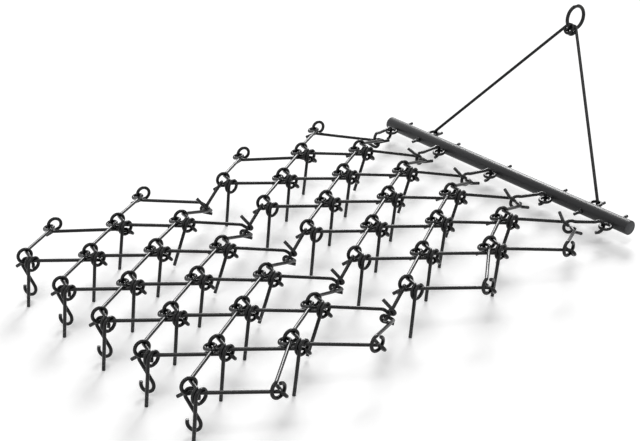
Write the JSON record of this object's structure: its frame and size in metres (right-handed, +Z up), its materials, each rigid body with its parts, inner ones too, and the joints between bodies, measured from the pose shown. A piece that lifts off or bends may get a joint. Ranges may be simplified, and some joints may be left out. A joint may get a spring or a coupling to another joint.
{
  "type": "chain harrow",
  "caption": "Drag chain harrow: two linked mats of interlocked tine rods on a round draw bar, with a three-point tow frame, tow ring and open connecting hooks.",
  "frame": {"origin": "on the ground under the middle of the whole, with the mats spread flat", "axes": "+X along the draw bar to the right seen from behind, +Y forward to the tow ring, +Z up"},
  "size_m": [1.3118, 2.0468, 0.5717],
  "materials": {
    "rod": "satin black paint",
    "bar": "satin black paint",
    "ring": "satin black paint"
  },
  "bodies": {
    "draw_bar": {"draw_bar": "bar"},
    "tow_frame": {"tow_rod_left": "rod", "tow_rod_right": "rod"},
    "tow_ring": {"tow_ring": "ring"},
    "front_connectors": {"front_connector_0": "rod", "front_connector_1": "rod", "front_connector_2": "rod", "front_connector_3": "rod", "front_connector_4": "rod"},
    "front_strip_3": {"front_link_r3_c0": "rod", "front_link_r3_c1": "rod", "front_link_r3_c2": "rod", "front_link_r3_c3": "rod", "front_edge_link_r3": "rod"},
    "front_strip_2": {"front_link_r2_c0": "rod", "front_link_r2_c1": "rod", "front_link_r2_c2": "rod", "front_link_r2_c3": "rod", "front_link_r2_c4": "rod"},
    "front_strip_1": {"front_link_r1_c0": "rod", "front_link_r1_c1": "rod", "front_link_r1_c2": "rod", "front_link_r1_c3": "rod", "front_edge_link_r1": "rod"},
    "front_strip_0": {"front_link_r0_c0": "rod", "front_link_r0_c1": "rod", "front_link_r0_c2": "rod", "front_link_r0_c3": "rod", "front_link_r0_c4": "rod"},
    "mid_connectors": {"mid_connector_0": "rod", "mid_connector_1": "rod", "mid_connector_2": "rod", "mid_connector_3": "rod", "mid_connector_4": "rod"},
    "rear_strip_3": {"rear_link_r3_c0": "rod", "rear_link_r3_c1": "rod", "rear_link_r3_c2": "rod", "rear_link_r3_c3": "rod", "rear_edge_link_r3": "rod"},
    "rear_strip_2": {"rear_link_r2_c0": "rod", "rear_link_r2_c1": "rod", "rear_link_r2_c2": "rod", "rear_link_r2_c3": "rod", "rear_link_r2_c4": "rod"},
    "rear_strip_1": {"rear_link_r1_c0": "rod", "rear_link_r1_c1": "rod", "rear_link_r1_c2": "rod", "rear_link_r1_c3": "rod", "rear_edge_link_r1": "rod"},
    "rear_strip_0": {"rear_link_r0_c0": "rod", "rear_link_r0_c1": "rod", "rear_link_r0_c2": "rod", "rear_link_r0_c3": "rod", "rear_link_r0_c4": "rod"},
    "spare_hook_0": {"s_hook_0": "rod"},
    "spare_hook_1": {"s_hook_1": "rod"},
    "spare_hook_2": {"s_hook_2": "rod"},
    "spare_hook_3": {"s_hook_3": "rod"},
    "spare_hook_4": {"s_hook_4": "rod"}
  },
  "joints": [
    {"name": "tow_frame_hinge", "type": "hinge", "parent": "draw_bar", "child": "tow_frame", "pos_m": [0, 0.67322, 0.05809], "axis": [1, 0, 0], "range_deg": [-59, 60]},
    {"name": "tow_ring_hinge", "type": "hinge", "parent": "tow_frame", "child": "tow_ring", "pos_m": [0.01194, 0.95371, 0.49], "axis": [0, -0.8387, 0.5446], "range_deg": [-115, 115]},
    {"name": "front_connectors_hinge", "type": "hinge", "parent": "draw_bar", "child": "front_connectors", "pos_m": [0, 0.54022, 0.05809], "axis": [1, 0, 0], "range_deg": [-30, 24]},
    {"name": "front_strip_3_hinge", "type": "hinge", "parent": "front_connectors", "child": "front_strip_3", "pos_m": [0, 0.44619, 0.08272], "axis": [-1, 0, 0], "range_deg": [-18, 9]},
    {"name": "front_strip_2_hinge", "type": "hinge", "parent": "front_strip_3", "child": "front_strip_2", "pos_m": [0, 0.2847, 0.12902], "axis": [1, 0, 0], "range_deg": [-45, 32]},
    {"name": "front_strip_1_hinge", "type": "hinge", "parent": "front_strip_2", "child": "front_strip_1", "pos_m": [0, 0.11685, 0.13606], "axis": [-1, 0, 0], "range_deg": [-30, 6.5]},
    {"name": "front_strip_0_hinge", "type": "hinge", "parent": "front_strip_1", "child": "front_strip_0", "pos_m": [0, -0.05115, 0.13694], "axis": [1, 0, 0], "range_deg": [-45, 42]},
    {"name": "mid_connectors_hinge", "type": "hinge", "parent": "front_strip_0", "child": "mid_connectors", "pos_m": [0, -0.23393, 0.12587], "axis": [-1, 0, 0], "range_deg": [-11.5, 6]},
    {"name": "rear_strip_3_hinge", "type": "hinge", "parent": "mid_connectors", "child": "rear_strip_3", "pos_m": [0, -0.3078, 0.08271], "axis": [1, 0, 0], "range_deg": [-13.5, 3.8]},
    {"name": "rear_strip_2_hinge", "type": "hinge", "parent": "rear_strip_3", "child": "rear_strip_2", "pos_m": [0, -0.46929, 0.12902], "axis": [-1, 0, 0], "range_deg": [-32, 45]},
    {"name": "rear_strip_1_hinge", "type": "hinge", "parent": "rear_strip_2", "child": "rear_strip_1", "pos_m": [0, -0.63714, 0.13606], "axis": [1, 0, 0], "range_deg": [-6.5, 30]},
    {"name": "rear_strip_0_hinge", "type": "hinge", "parent": "rear_strip_1", "child": "rear_strip_0", "pos_m": [0, -0.80514, 0.13694], "axis": [-1, 0, 0], "range_deg": [-42, 45]},
    {"name": "spare_hook_0_hinge", "type": "hinge", "parent": "rear_strip_0", "child": "spare_hook_0", "pos_m": [-0.48616, -0.9693, 0.1199], "axis": [1, 0, 0], "range_deg": [-19, 11.5]},
    {"name": "spare_hook_1_hinge", "type": "hinge", "parent": "rear_strip_0", "child": "spare_hook_1", "pos_m": [-0.24616, -0.9693, 0.1199], "axis": [1, 0, 0], "range_deg": [-19, 11.5]},
    {"name": "spare_hook_2_hinge", "type": "hinge", "parent": "rear_strip_0", "child": "spare_hook_2", "pos_m": [-0.00616, -0.9693, 0.1199], "axis": [1, 0, 0], "range_deg": [-19, 11.5]},
    {"name": "spare_hook_3_hinge", "type": "hinge", "parent": "rear_strip_0", "child": "spare_hook_3", "pos_m": [0.23384, -0.9693, 0.1199], "axis": [1, 0, 0], "range_deg": [-19, 11.5]},
    {"name": "spare_hook_4_hinge", "type": "hinge", "parent": "rear_strip_0", "child": "spare_hook_4", "pos_m": [0.47384, -0.9693, 0.1199], "axis": [1, 0, 0], "range_deg": [-19, 11.5]}
  ]
}
